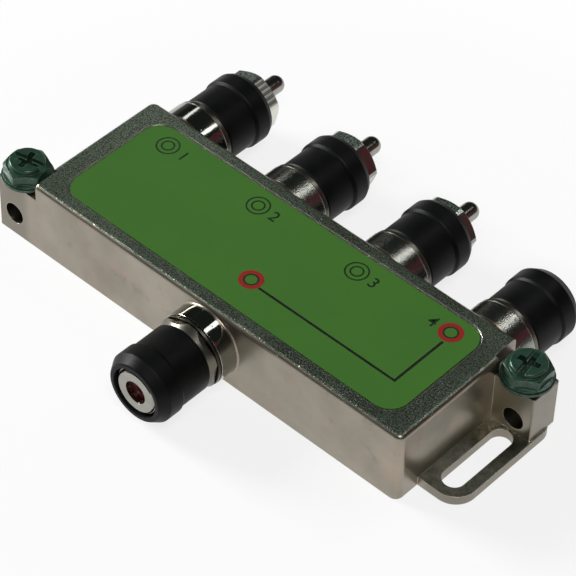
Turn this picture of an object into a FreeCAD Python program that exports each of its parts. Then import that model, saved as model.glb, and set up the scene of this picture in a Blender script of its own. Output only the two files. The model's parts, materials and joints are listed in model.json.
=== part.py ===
import FreeCAD, Part
import math
import os

import Sketcher

# Coaxial signal splitter with one input port in the front wall and four output ports in the rear wall.
# Frame: millimetres, +Z up, +X along the case, -Y towards the input port.
# The origin is the centre of the case's flat underside.

SIZES = {
    # Cast case
    "case_length": 90.0,
    "case_width": 32.0,
    "case_height": 16.0,
    "case_corner": 1.6,
    "case_edge": 1.0,
    "case_wall": 2.2,
    "case_roof": 1.8,
    "board_ledge": 1.3,
    "cover_rim": 1.1,
    "cover_thickness": 0.9,
    "casting_edge": 0.3,
    # Label and the shallow panel that it lies in
    "label_end_border": 4.8,
    "label_side_border": 3.15,
    "label_corner": 4.0,
    "label_thickness": 0.15,
    "label_margin": 0.4,
    "panel_depth": 0.25,
    # Ground blocks, one at each end, placed point-symmetrically
    "block_length": 8.8,
    "block_width": 6.9,
    "block_height": 12.5,
    "wire_bore": 4.5,
    "wire_height": 5.15,
    "wire_reach": 4.8,
    "screw_reach": 4.4,
    "screw_break": 1.2,
    "corner_relief": 1.2,
    "relief_length": 5.9,
    # Mounting ears with one long slot each
    "ear_length": 9.2,
    "ear_front": 10.5,
    "ear_thickness": 2.0,
    "ear_front_corner": 4.4,
    "ear_rear_corner": 3.4,
    "slot_width": 4.4,
    "slot_length": 17.0,
    "slot_reach": 4.65,
    # Ports
    "port_pitch": 25.0,
    "boss_diameter": 14.7,
    "front_boss_length": 3.9,
    "rear_boss_length": 5.0,
    "port_base_length": 6.2,
    "port_length": 18.2,
    "port_thread": 9.525,
    "port_face": 8.3,
    "port_shank": 9.2,
    "flange_diameter": 14.4,
    "flange_hex": 13.3,
    "flange_tip": 12.7,
    "flange_land": 0.7,
    "flange_bevel": 0.25,
    "flange_groove": 0.25,
    "flange_groove_depth": 0.75,
    "port_core": 6.8,
    "port_mouth": 4.7,
    "mouth_depth": 1.3,
    "insulator_entry": 1.3,
    "entry_funnel": 2.3,
    "funnel_depth": 0.6,
    "contact_diameter": 1.7,
    "contact_socket": 0.95,
    "socket_depth": 9.0,
    "contact_setback": 1.2,
    "tail_diameter": 0.9,
    "tail_length": 3.0,
    # Rubber boots
    "boot_base": 13.0,
    "boot_barrel": 13.7,
    "boot_collar": 14.4,
    "boot_tip": 11.9,
    "boot_collar_length": 3.6,
    "boot_taper_length": 1.9,
    "boot_overhang": 0.3,
    "boot_bore": 10.2,
    "boot_lip_length": 2.3,
    "boot_round": 0.5,
    "stretched_collar": 14.6,
    "stretched_tip": 13.6,
    "stretched_taper_length": 1.0,
    "stretched_pull": 0.8,
    # Screwed terminators
    "nut_hex": 11.1,
    "nut_corners": 12.4,
    "nut_sleeve": 10.9,
    "nut_grip": 9.3,
    "nut_overhang": 1.95,
    "nut_hex_length": 6.9,
    "nut_wall": 1.0,
    "nut_chamfer": 0.45,
    "rib_width": 0.55,
    "rib_depth": 0.3,
    "stub_diameter": 3.7,
    "stub_overhang": 8.65,
    "stub_wall": 0.55,
    "core_flange": 8.8,
    "core_flange_thickness": 0.85,
    "resistor_lead": 0.7,
    "lead_reach": 5.5,
    # Ground screws
    "screw_thread": 4.8,
    "screw_length": 5.9,
    "screw_gap": 0.4,
    "washer_diameter": 9.9,
    "washer_thickness": 0.5,
    "screw_flange": 9.3,
    "screw_flange_thickness": 0.45,
    "screw_hex": 7.94,
    "screw_hex_height": 1.95,
    "screw_crown": 6.8,
    "screw_crown_height": 0.95,
    "crown_round": 0.35,
    "slot_cut": 1.7,
    "slot_cut_depth": 0.95,
    "cross_width": 1.25,
    "cross_span": 4.4,
    "cross_depth": 2.2,
    "thread_tip": 0.4,
    "thread_pitch": 0.794,
    # Circuit board and what is soldered to it
    "board_thickness": 1.0,
    "board_clearance": 0.2,
    "core_length": 7.0,
    "core_width": 5.0,
    "core_height": 3.6,
    "core_hole": 1.6,
    "choke_diameter": 4.0,
    "choke_length": 9.0,
    "capacitor_diameter": 4.2,
    "capacitor_thickness": 1.3,
    # Clearances
    "thread_clearance": 0.05,
    "pressed_clearance": 0.05,
    "turning_clearance": 0.08,
    "stretch_clearance": 0.3,
    "seat_gap": 0.05,
}

# How far each turned piece stands round its own axis, in degrees
NUT_TURNS = (18.9, 8.3, 7.8)
SCREW_TURNS = {"right": 34.0, "left": 40.0}
SLOT_TURNS = {"right": 66.0, "left": -27.0}

FLANGE_HEX_TURN = 22.0
HALF_FACET = 30.0

# How many turns each terminator rests short of fully home
TURNS_OUT = (0.9, 0.9, 0.0)

# Shares: of the stub's radius taken by its round end, of the screw flange's thickness at its edge and
# at its root, and of the drop of the chamfer on the screw's hexagon
STUB_ROUNDING = 0.9
FLANGE_EDGE = 0.6
FLANGE_ROOT = 1.3
HEX_CHAMFER_SLOPE = 0.5

# Places on the board: shares of the port pitch along the case and of the case's width across it
TRANSFORMER_SPOTS = ((0.0, -0.2), (0.0, 0.1125), (-1.0, 0.0375), (1.0, 0.0375))
CHOKE_SPOT = (0.45, -0.2375)
CAPACITOR_ROW = 0.225

OUTPUT_COUNT = 4
OVERLAP = 0.6
RIB_COUNT = 5
HEX_ANGLES = tuple(math.radians(60 * k) for k in range(6))

DOC = FreeCAD.newDocument("CoaxialSplitter")


class Size:
    """A length in millimetres, with the sheet formula that gives it."""

    def __init__(self, value, formula):
        self.value = value
        self.formula = formula

    def _join(self, other, sign, value):
        return Size(value, "(%s %s %s)" % (self.formula, sign, as_size(other).formula))

    def __add__(self, other):
        return self._join(other, "+", self.value + as_size(other).value)

    def __sub__(self, other):
        return self._join(other, "-", self.value - as_size(other).value)

    def __mul__(self, other):
        return self._join(other, "*", self.value * as_size(other).value)

    def __truediv__(self, other):
        return self._join(other, "/", self.value / as_size(other).value)

    def __rsub__(self, other):
        return as_size(other) - self

    def __neg__(self):
        return self * -1.0


def as_size(thing):
    """Return a Size for a plain number, or the Size itself."""
    if isinstance(thing, Size):
        return thing
    return Size(float(thing), "%.10g" % thing)


def make_sheet():
    """Write the driving dimensions to the sheet and return them as Sizes by name."""
    sheet = DOC.addObject("Spreadsheet::Sheet", "Sizes")
    named = {}
    for row, (name, value) in enumerate(SIZES.items(), start=1):
        sheet.set("A%d" % row, name)
        sheet.set("B%d" % row, str(value))
        sheet.setAlias("B%d" % row, name)
        named[name] = Size(value, "Sizes.%s" % name)
    DOC.recompute()
    return named


S = make_sheet()


def bind(thing, prop, size):
    """Tie a property of an object to the formula of a Size."""
    thing.setExpression(prop, as_size(size).formula)


def new_body(label):
    body = DOC.addObject("PartDesign::Body", label)
    body.Label = label
    return body


def place(thing, x=0.0, y=0.0, z=0.0, axis=(0, 0, 1), turn=0.0):
    """Turn a finished sub-part about an axis and bind its position to the sheet."""
    rotation = FreeCAD.Rotation(FreeCAD.Vector(*axis), turn)
    thing.Placement = FreeCAD.Placement(FreeCAD.Vector(), rotation)
    for letter, size in zip("xyz", (x, y, z)):
        bind(thing, "Placement.Base.%s" % letter, size)


def new_sketch(body, name, role="XY_Plane", offset=None):
    """Attach a sketch to one of the body's own origin planes, moved along its normal."""
    plane = next(o for o in body.Origin.OriginFeatures if o.Role == role)
    sketch = body.newObject("Sketcher::SketchObject", name)
    sketch.AttachmentSupport = [(plane, "")]
    sketch.MapMode = "FlatFace"
    if offset is not None:
        bind(sketch, "AttachmentOffset.Base.z", offset)
    return sketch


def pin_point(sketch, index, end, x, y):
    """Hold one end of an edge at a place that the sheet gives."""
    for kind, size in (("DistanceX", as_size(x)), ("DistanceY", as_size(y))):
        number = sketch.addConstraint(Sketcher.Constraint(kind, -1, 1, index, end, size.value))
        bind(sketch, "Constraints[%d]" % number, size)


def polygon(sketch, points):
    """Draw a closed outline through points, each a pair of Sizes or numbers."""
    sized = [(as_size(x), as_size(y)) for x, y in points]
    corners = [FreeCAD.Vector(x.value, y.value, 0) for x, y in sized]
    first = sketch.GeometryCount
    count = len(corners)
    for k in range(count):
        sketch.addGeometry(Part.LineSegment(corners[k], corners[(k + 1) % count]))
    for k in range(count):
        following = first + (k + 1) % count
        sketch.addConstraint(Sketcher.Constraint("Coincident", first + k, 2, following, 1))
    for k, (x, y) in enumerate(sized):
        pin_point(sketch, first + k, 1, x, y)


def rectangle(sketch, low, high):
    """Draw a rectangle between two opposite corners."""
    polygon(sketch, [low, (high[0], low[1]), high, (low[0], high[1])])


def circle(sketch, x, y, diameter):
    centre = FreeCAD.Vector(as_size(x).value, as_size(y).value, 0)
    radius = as_size(diameter) / 2
    index = sketch.addGeometry(Part.Circle(centre, FreeCAD.Vector(0, 0, 1), radius.value))
    pin_point(sketch, index, 3, x, y)
    number = sketch.addConstraint(Sketcher.Constraint("Radius", index, radius.value))
    bind(sketch, "Constraints[%d]" % number, radius)


def hexagon(sketch, across_flats, turn=0.0):
    """Draw a regular hexagon round the origin, its first corner turned from the X axis."""
    corner = across_flats / math.sqrt(3)
    angles = [angle + math.radians(turn) for angle in HEX_ANGLES]
    polygon(sketch, [(corner * math.cos(a), corner * math.sin(a)) for a in angles])


def long_slot(sketch, x, length, width):
    """Draw a slot with round ends that runs along Y, centred on y = 0."""
    reach = (length - width) / 2
    radius = width / 2
    centres = [FreeCAD.Vector(x.value, side * reach.value, 0) for side in (1, -1)]
    first = sketch.GeometryCount
    for number, centre in enumerate(centres):
        round_end = Part.Circle(centre, FreeCAD.Vector(0, 0, 1), radius.value)
        sketch.addGeometry(Part.ArcOfCircle(round_end, number * math.pi, (number + 1) * math.pi))
    for side in (-1, 1):
        shift = FreeCAD.Vector(side * radius.value, 0, 0)
        ends = (centres[0] + shift, centres[1] + shift)
        ends = ends if side < 0 else ends[::-1]
        sketch.addGeometry(Part.LineSegment(*ends))
    for arc, line in ((0, 2), (1, 3)):
        follower = 3 if line == 2 else 2
        sketch.addConstraint(Sketcher.Constraint("Tangent", first + arc, 2, first + line, 1))
        sketch.addConstraint(Sketcher.Constraint("Tangent", first + arc, 1, first + follower, 2))
    pin_point(sketch, first, 3, x, reach)
    pin_point(sketch, first + 1, 3, x, -reach)
    number = sketch.addConstraint(Sketcher.Constraint("Radius", first, radius.value))
    bind(sketch, "Constraints[%d]" % number, radius)


def feature(body, kind, name, sketch, **lengths):
    """Add a sketch-based feature and bind the lengths that are given."""
    made = body.newObject("PartDesign::" + kind, name)
    made.Profile = sketch
    for prop, size in lengths.items():
        if isinstance(size, bool):
            setattr(made, prop, size)
        else:
            bind(made, prop, size)
    sketch.Visibility = False
    DOC.recompute()
    return made


def revolve(body, name, points, kind="Revolution"):
    """Turn an outline of (radius, height) points a full circle about the body's Z axis."""
    sketch = new_sketch(body, name + "Profile", "XZ_Plane")
    polygon(sketch, points)
    made = body.newObject("PartDesign::" + kind, name)
    made.Profile = sketch
    made.ReferenceAxis = (sketch, ["V_Axis"])
    made.Angle = 360
    DOC.recompute()
    return made


def dress(body, kind, name, size, wanted):
    """Fillet or chamfer the edges of the body's tip that a test picks out."""
    base = body.Tip
    names = ["Edge%d" % (k + 1) for k, edge in enumerate(base.Shape.Edges) if wanted(edge)]
    made = body.newObject("PartDesign::" + kind, name)
    made.Base = (base, names)
    bind(made, "Radius" if kind == "Fillet" else "Size", size)
    DOC.recompute()
    return made


def is_upright(edge):
    box = edge.BoundBox
    return box.ZLength > 0.1 and max(box.XLength, box.YLength) < 1e-6


def lies_at(edge, height):
    box = edge.BoundBox
    return abs(box.ZMin - height) < 1e-6 and abs(box.ZMax - height) < 1e-6


def is_round_at(edge, radius, height):
    curve = edge.Curve
    return isinstance(curve, Part.Circle) and abs(curve.Radius - radius) < 1e-6 and lies_at(edge, height)


HALF_LENGTH = S["case_length"] / 2
HALF_WIDTH = S["case_width"] / 2
SCREW_X = HALF_LENGTH + S["screw_reach"]
WIRE_X = HALF_LENGTH + S["wire_reach"]
SCREW_Y = HALF_WIDTH - S["block_width"] / 2
SLOT_X = HALF_LENGTH + S["slot_reach"]
REAR_PORT_START = S["port_pitch"] * (1 - OUTPUT_COUNT) / 2
PORT_HEIGHT = S["case_height"] / 2
LABEL_REACH = (HALF_LENGTH - S["label_end_border"], HALF_WIDTH - S["label_side_border"])
BOOT_END = S["port_length"] + S["boot_overhang"]
NUT_START = S["port_length"] - S["nut_grip"]
NUT_END = S["port_length"] + S["nut_overhang"]
STUB_END = S["port_length"] + S["stub_overhang"]
BOARD_TOP = PORT_HEIGHT - S["tail_diameter"] / 2 - S["seat_gap"]


def add_case_block(body):
    """The plain case: a block with round upright corners and round top edges."""
    outline = new_sketch(body, "CaseOutline")
    rectangle(outline, (-HALF_LENGTH, -HALF_WIDTH), (HALF_LENGTH, HALF_WIDTH))
    feature(body, "Pad", "CaseBlock", outline, Length=S["case_height"])
    dress(body, "Fillet", "CaseCorners", S["case_corner"], is_upright)
    top = S["case_height"].value
    dress(body, "Fillet", "CaseTopEdge", S["case_edge"], lambda edge: lies_at(edge, top))


def add_ears(body):
    """A flat slotted ear at each end, which also runs under the ground block."""
    sketch = new_sketch(body, "EarOutline")
    for side in (1, -1):
        inner = (HALF_LENGTH - S["case_corner"] - OVERLAP) * side
        outer = (HALF_LENGTH + S["ear_length"]) * side
        rectangle(sketch, (inner, S["ear_front"] * -side), (outer, HALF_WIDTH * side))
    feature(body, "Pad", "Ears", sketch, Length=S["ear_thickness"])
    reach = (HALF_LENGTH + S["ear_length"]).value

    def at_corner(edge, y_size):
        centre = edge.CenterOfMass
        along = centre.y * math.copysign(1, centre.x)
        ends = abs(abs(centre.x) - reach) < 1e-6 and abs(along - y_size) < 1e-6
        return is_upright(edge) and ends

    dress(body, "Fillet", "EarFrontCorners", S["ear_front_corner"],
          lambda edge: at_corner(edge, -S["ear_front"].value))
    dress(body, "Fillet", "EarRearCorners", S["ear_rear_corner"],
          lambda edge: at_corner(edge, HALF_WIDTH.value))


def add_ground_blocks(body):
    """The two ground blocks beside the case, and the relief in the case wall above them.

    The right-hand block stands on the ear's round corner, and the left-hand one reaches the underside.
    """
    for name, side, foot in (("RightBlock", 1, S["ear_thickness"]), ("LeftBlock", -1, as_size(0.0))):
        sketch = new_sketch(body, name + "Outline", offset=foot)
        inner = (HALF_LENGTH - S["case_corner"] - OVERLAP) * side
        outer = (HALF_LENGTH + S["block_length"]) * side
        rectangle(sketch, (inner, (HALF_WIDTH - S["block_width"]) * side), (outer, HALF_WIDTH * side))
        feature(body, "Pad", name, sketch, Length=S["block_height"] - foot)
    relief = new_sketch(body, "ReliefOutline", offset=S["case_height"])
    for side in (1, -1):
        inner = (HALF_LENGTH - S["corner_relief"]) * side
        outer = (HALF_LENGTH + OVERLAP) * side
        rectangle(relief, (inner, (HALF_WIDTH - S["relief_length"]) * side),
                  (outer, (HALF_WIDTH + OVERLAP) * side))
    feature(body, "Pocket", "CornerRelief", relief, Length=S["case_height"] - S["block_height"])


def add_bosses(body):
    """Round bosses for the ports: one in front, a row of four behind."""
    front = new_sketch(body, "FrontBossOutline", "XZ_Plane", HALF_WIDTH - OVERLAP)
    circle(front, 0.0, PORT_HEIGHT, S["boss_diameter"])
    feature(body, "Pad", "FrontBoss", front, Length=S["front_boss_length"] + OVERLAP)
    rear = new_sketch(body, "RearBossOutline", "XZ_Plane", OVERLAP - HALF_WIDTH)
    for number in range(OUTPUT_COUNT):
        circle(rear, REAR_PORT_START + S["port_pitch"] * number, PORT_HEIGHT, S["boss_diameter"])
    feature(body, "Pad", "RearBosses", rear, Length=S["rear_boss_length"] + OVERLAP, Reversed=True)


def cut_inside(body):
    """Hollow the case from below in three steps: cover seat, board chamber, upper chamber."""
    seat = new_sketch(body, "CoverSeatOutline")
    inset = S["cover_rim"]
    rectangle(seat, (inset - HALF_LENGTH, inset - HALF_WIDTH), (HALF_LENGTH - inset, HALF_WIDTH - inset))
    feature(body, "Pocket", "CoverSeat", seat, Length=S["cover_thickness"], Reversed=True)
    lower = new_sketch(body, "BoardChamberOutline")
    inset = S["case_wall"]
    rectangle(lower, (inset - HALF_LENGTH, inset - HALF_WIDTH), (HALF_LENGTH - inset, HALF_WIDTH - inset))
    feature(body, "Pocket", "BoardChamber", lower, Length=BOARD_TOP, Reversed=True)
    upper = new_sketch(body, "UpperChamberOutline")
    inset = S["case_wall"] + S["board_ledge"]
    rectangle(upper, (inset - HALF_LENGTH, inset - HALF_WIDTH), (HALF_LENGTH - inset, HALF_WIDTH - inset))
    depth = S["case_height"] - S["case_roof"]
    feature(body, "Pocket", "UpperChamber", upper, Length=depth, Reversed=True)


def cut_port_bores(body):
    """Bores through the bosses and the wall that take the shanks of the ports."""
    bore = S["port_shank"] + S["pressed_clearance"] * 2
    through = S["case_wall"] + S["board_ledge"] + OVERLAP
    front = new_sketch(body, "FrontBoreOutline", "XZ_Plane", HALF_WIDTH + S["front_boss_length"])
    circle(front, 0.0, PORT_HEIGHT, bore)
    feature(body, "Pocket", "FrontBore", front, Length=S["front_boss_length"] + through)
    rear = new_sketch(body, "RearBoreOutline", "XZ_Plane", -(HALF_WIDTH + S["rear_boss_length"]))
    for number in range(OUTPUT_COUNT):
        circle(rear, REAR_PORT_START + S["port_pitch"] * number, PORT_HEIGHT, bore)
    feature(body, "Pocket", "RearBores", rear, Length=S["rear_boss_length"] + through, Reversed=True)


def cut_block_holes(body):
    """Wire bores along Y and threaded holes for the ground screws."""
    bores = new_sketch(body, "WireBoreOutline", "XZ_Plane", -(HALF_WIDTH + OVERLAP))
    circle(bores, WIRE_X, S["wire_height"], S["wire_bore"])
    circle(bores, -WIRE_X, S["wire_height"], S["wire_bore"])
    feature(body, "Pocket", "WireBores", bores, Length=S["case_width"] + OVERLAP * 2, Reversed=True)
    holes = new_sketch(body, "ScrewHoleOutline", offset=S["block_height"])
    hole = S["screw_thread"] + S["thread_clearance"] * 2
    circle(holes, SCREW_X, SCREW_Y, hole)
    circle(holes, -SCREW_X, -SCREW_Y, hole)
    floor = S["wire_height"] + S["screw_break"]
    feature(body, "Pocket", "ScrewHoles", holes, Length=S["block_height"] - floor)


def cut_slots_and_panel(body):
    """The ears' slots, and the shallow panel in the roof that the label lies in."""
    slots = new_sketch(body, "SlotOutline")
    long_slot(slots, SLOT_X, S["slot_length"], S["slot_width"])
    long_slot(slots, -SLOT_X, S["slot_length"], S["slot_width"])
    feature(body, "Pocket", "EarSlots", slots, Length=S["ear_thickness"], Reversed=True)
    panel = new_sketch(body, "PanelOutline", offset=S["case_height"])
    half = (LABEL_REACH[0] + S["label_margin"], LABEL_REACH[1] + S["label_margin"])
    rectangle(panel, (-half[0], -half[1]), half)
    feature(body, "Pocket", "LabelPanel", panel, Length=S["panel_depth"])
    floor = (S["case_height"] - S["panel_depth"]).value

    def in_panel(edge):
        return is_upright(edge) and abs(edge.BoundBox.ZMin - floor) < 1e-6

    dress(body, "Fillet", "PanelCorners", S["label_corner"] + S["label_margin"], in_panel)


def soften_casting(body):
    """Small rounds on the outer edges of the blocks."""
    ear_top = S["ear_thickness"].value
    block_top = S["block_height"].value
    outside = (HALF_LENGTH + S["block_length"]).value

    def on_block(edge):
        box = edge.BoundBox
        outer = abs(abs(box.XMin) - outside) < 1e-6 and abs(abs(box.XMax) - outside) < 1e-6
        tall = is_upright(edge) and box.ZMax > ear_top + 1
        return outer and (tall or lies_at(edge, block_top))

    dress(body, "Fillet", "BlockEdges", S["casting_edge"], on_block)


def make_housing():
    body = new_body("housing")
    add_case_block(body)
    add_ears(body)
    add_ground_blocks(body)
    soften_casting(body)
    add_bosses(body)
    cut_inside(body)
    cut_port_bores(body)
    cut_block_holes(body)
    cut_slots_and_panel(body)
    return [body]


def make_flat_plates():
    """The bottom cover, the circuit board and the label."""
    cover = new_body("bottom_cover")
    inset = S["cover_rim"] + S["seat_gap"]
    outline = new_sketch(cover, "CoverOutline")
    rectangle(outline, (inset - HALF_LENGTH, inset - HALF_WIDTH), (HALF_LENGTH - inset, HALF_WIDTH - inset))
    feature(cover, "Pad", "CoverPlate", outline, Length=S["cover_thickness"])

    board = new_body("circuit_board")
    inset = S["case_wall"] + S["board_clearance"]
    outline = new_sketch(board, "BoardOutline")
    rectangle(outline, (inset - HALF_LENGTH, inset - HALF_WIDTH), (HALF_LENGTH - inset, HALF_WIDTH - inset))
    feature(board, "Pad", "BoardPlate", outline, Length=S["board_thickness"])
    place(board, z=BOARD_TOP - S["board_thickness"])

    label = new_body("label")
    outline = new_sketch(label, "LabelOutline")
    half = (LABEL_REACH[0], LABEL_REACH[1])
    rectangle(outline, (-half[0], -half[1]), half)
    feature(label, "Pad", "LabelSheet", outline, Length=S["label_thickness"])
    dress(label, "Fillet", "LabelCorners", S["label_corner"], is_upright)
    place(label, z=S["case_height"] - S["panel_depth"])
    return [cover, board, label]


def ports():
    """Yield name, X place, wall side, boss length and whether a terminator closes each port."""
    yield "input", as_size(0.0), -1, S["front_boss_length"], False
    for number in range(OUTPUT_COUNT):
        x = REAR_PORT_START + S["port_pitch"] * number
        yield "output_%d" % (number + 1), x, 1, S["rear_boss_length"], number < len(NUT_TURNS)


def place_on_wall(thing, x, side, turn=0.0, turns_out=0.0):
    """Stand a piece made along its own Z axis on the front or rear wall at port height."""
    outward = FreeCAD.Rotation(FreeCAD.Vector(1, 0, 0), -90 * side)
    spin = FreeCAD.Rotation(FreeCAD.Vector(0, 0, 1), turn)
    thing.Placement = FreeCAD.Placement(FreeCAD.Vector(), outward.multiply(spin))
    bind(thing, "Placement.Base.x", x)
    bind(thing, "Placement.Base.y", (HALF_WIDTH + S["thread_pitch"] * turns_out) * side)
    bind(thing, "Placement.Base.z", PORT_HEIGHT)


def make_port_body(name, x, side, boss_length):
    """A turned port: shank, flange, outside thread and a bore for its insulator."""
    body = new_body("port_body_" + name)
    thread = S["port_thread"] / 2
    face = S["port_face"] / 2
    flange = S["flange_diameter"] / 2
    bevel = S["flange_bevel"]
    chamfer = thread - face
    mouth = S["port_length"] - S["mouth_depth"]
    land = boss_length + S["flange_land"]
    rest = [(flange, S["port_base_length"] - bevel), (flange - bevel, S["port_base_length"])]
    if side < 0:
        floor = flange - S["flange_groove_depth"]
        hex_start = land + S["flange_groove"]
        rest = [(flange, land), (floor, land), (floor, hex_start), (flange, hex_start),
                (S["flange_tip"] / 2, S["port_base_length"])]
    revolve(body, "PortTurning", [
        (S["port_core"] / 2, -S["case_wall"]),
        (S["port_shank"] / 2, -S["case_wall"]),
        (S["port_shank"] / 2, boss_length),
        (flange - bevel, boss_length),
        (flange, boss_length + bevel)] + rest + [
        (thread, S["port_base_length"]),
        (thread, S["port_length"] - chamfer),
        (face, S["port_length"]),
        (S["port_mouth"] / 2, S["port_length"]),
        (S["port_mouth"] / 2, mouth),
        (S["port_core"] / 2, mouth)])
    if side < 0:
        flats = new_sketch(body, "FlangeFlats", offset=hex_start)
        circle(flats, 0.0, 0.0, S["flange_diameter"] + OVERLAP * 2)
        hexagon(flats, S["flange_hex"], FLANGE_HEX_TURN)
        feature(body, "Pocket", "FlangeHex", flats, Length=S["port_base_length"] - hex_start, Reversed=True)
    place_on_wall(body, x, side)
    return body


def make_port_insulator(name, x, side):
    """The coloured insulator: a sleeve with a small funnel where the wire goes in."""
    body = new_body("port_insulator_" + name)
    radius = S["port_core"] / 2 - S["pressed_clearance"]
    front = S["port_length"] - S["mouth_depth"] - S["pressed_clearance"]
    chamber = S["contact_diameter"] / 2 + S["pressed_clearance"]
    entry = S["insulator_entry"] / 2
    shoulder = S["port_length"] - S["mouth_depth"] - S["contact_setback"]
    revolve(body, "InsulatorTurning", [
        (chamber, -S["case_wall"]),
        (radius, -S["case_wall"]),
        (radius, front),
        (S["entry_funnel"] / 2, front),
        (entry, front - S["funnel_depth"]),
        (entry, shoulder),
        (chamber, shoulder)])
    place_on_wall(body, x, side)
    return body


def make_port_contact(name, x, side):
    """The centre contact: a socket for the wire and a thin tail soldered to the board."""
    body = new_body("port_contact_" + name)
    tip = S["port_length"] - S["mouth_depth"] - S["contact_setback"] - S["seat_gap"]
    tail_end = -(S["case_wall"] + S["tail_length"])
    revolve(body, "ContactTurning", [
        (0.0, tail_end),
        (S["tail_diameter"] / 2, tail_end),
        (S["tail_diameter"] / 2, -S["case_wall"] / 2),
        (S["contact_diameter"] / 2, -S["case_wall"] / 2),
        (S["contact_diameter"] / 2, tip),
        (S["contact_socket"] / 2, tip),
        (S["contact_socket"] / 2, tip - S["socket_depth"]),
        (0.0, tip - S["socket_depth"])])
    place_on_wall(body, x, side)
    return body


def make_boot(name, x, side, stretched):
    """A rubber weather boot: barrel, thicker collar and tapered mouth.

    The boot of a closed port is stretched over the terminator's nut, so its bore is stepped.
    """
    body = new_body("boot_" + name)
    base = S["port_base_length"] + S["seat_gap"]
    lip = base + S["boot_lip_length"]
    grip = S["port_thread"] / 2 + S["pressed_clearance"]
    barrel = S["boot_barrel"] / 2
    if stretched:
        collar, tip = S["stretched_collar"] / 2, S["stretched_tip"] / 2
        end = BOOT_END - S["stretched_pull"]
        collar_end = end - S["stretched_taper_length"]
        around_sleeve = S["nut_sleeve"] / 2 + S["stretch_clearance"]
        around_hex = S["nut_corners"] / 2 + S["stretch_clearance"]
        step = NUT_END - S["nut_hex_length"] - S["stretch_clearance"]
        inside = [(around_hex, end), (around_hex, step), (around_sleeve, step), (around_sleeve, lip)]
    else:
        collar, tip = S["boot_collar"] / 2, S["boot_tip"] / 2
        end = BOOT_END
        collar_end = end - S["boot_taper_length"]
        inside = [(S["boot_bore"] / 2, end), (S["boot_bore"] / 2, lip)]
    collar_start = collar_end - S["boot_collar_length"]
    revolve(body, "BootShape", [
        (grip, base),
        (S["boot_base"] / 2, base),
        (barrel, base + S["boot_round"]),
        (barrel, collar_start),
        (collar, collar_start + S["boot_round"]),
        (collar, collar_end),
        (tip, end)] + inside + [(grip, lip)])
    soft = [(collar, collar_start + S["boot_round"]), (collar, collar_end)]
    if not stretched:
        soft.append((tip, end))
    rounds = [(radius.value, height.value) for radius, height in soft]
    dress(body, "Fillet", "BootRounds", S["boot_round"],
          lambda edge: any(is_round_at(edge, r, z) for r, z in rounds))
    place_on_wall(body, x, side)
    return body


def make_ports():
    made = []
    for name, x, side, boss_length, closed in ports():
        made.append(make_port_body(name, x, side, boss_length))
        made.append(make_port_insulator(name, x, side))
        made.append(make_port_contact(name, x, side))
        made.append(make_boot(name, x, side, closed))
    return made


def chamfer_hex(body, name, across_flats, top):
    """Turn off the outer corners of a hexagon with a cone that starts at its flats."""
    flat = across_flats / 2
    corner = across_flats / math.sqrt(3) + OVERLAP
    slope = (corner - flat) * HEX_CHAMFER_SLOPE
    revolve(body, name, [(flat, top), (corner, top - slope), (corner, top + OVERLAP), (flat, top + OVERLAP)],
            "Groove")


def make_nut(number, x, turn, turns_out, ribbed):
    """A terminator's swivel nut: threaded sleeve, hexagonal head and a hole for the stub."""
    body = new_body("terminator_nut_%d" % number)
    bore = S["port_thread"] / 2 + S["turning_clearance"]
    sleeve = S["nut_sleeve"] / 2
    hex_start = NUT_END - S["nut_hex_length"]
    inside = NUT_END - S["nut_wall"]
    hole = S["stub_diameter"] / 2 + S["turning_clearance"]
    revolve(body, "NutTurning", [
        (bore, NUT_START),
        (sleeve - S["nut_chamfer"] / 2, NUT_START),
        (sleeve, NUT_START + S["nut_chamfer"]),
        (sleeve, NUT_END),
        (hole, NUT_END),
        (hole, inside),
        (bore, inside)])
    head = new_sketch(body, "NutHeadOutline", offset=hex_start)
    hexagon(head, S["nut_hex"])
    circle(head, 0.0, 0.0, S["nut_sleeve"] - OVERLAP)
    feature(body, "Pad", "NutHead", head, Length=S["nut_hex_length"])
    corners = S["nut_corners"] / 2
    beyond = S["nut_hex"] / math.sqrt(3) + OVERLAP
    revolve(body, "NutCornerTurning", [
        (corners, hex_start - OVERLAP),
        (corners, NUT_END - S["nut_chamfer"]),
        (S["nut_hex"] / 2 - S["nut_chamfer"] / 4, NUT_END),
        (S["nut_hex"] / 2 - S["nut_chamfer"] / 4, NUT_END + OVERLAP),
        (beyond, NUT_END + OVERLAP),
        (beyond, hex_start - OVERLAP)], "Groove")
    if ribbed:
        cut_ribs(body, hex_start)
    place_on_wall(body, x, 1, turn, turns_out)
    return body


def cut_ribs(body, start):
    """Short grooves along one flat of the nut, which leave a row of ribs."""
    flat = S["nut_hex"] / 2
    side = S["nut_hex"] / math.sqrt(3)
    pitch = side / (RIB_COUNT + 1)
    angle = math.radians(HALF_FACET)
    sketch = new_sketch(body, "RibOutline", offset=start)
    for k in range(RIB_COUNT):
        middle = pitch * (k - (RIB_COUNT - 1) / 2)
        corners = [
            (flat - S["rib_depth"], middle - S["rib_width"] / 2),
            (flat + OVERLAP, middle - S["rib_width"] / 2),
            (flat + OVERLAP, middle + S["rib_width"] / 2),
            (flat - S["rib_depth"], middle + S["rib_width"] / 2)]
        polygon(sketch, [turned(point, -angle) for point in corners])
    feature(body, "Pocket", "NutRibs", sketch, Length=S["nut_hex_length"], Reversed=True)


def turned(point, angle):
    """Turn a flat point of Sizes about the origin."""
    x, y = point
    cosine, sine = math.cos(angle), math.sin(angle)
    return (x * cosine - y * sine, x * sine + y * cosine)


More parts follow.
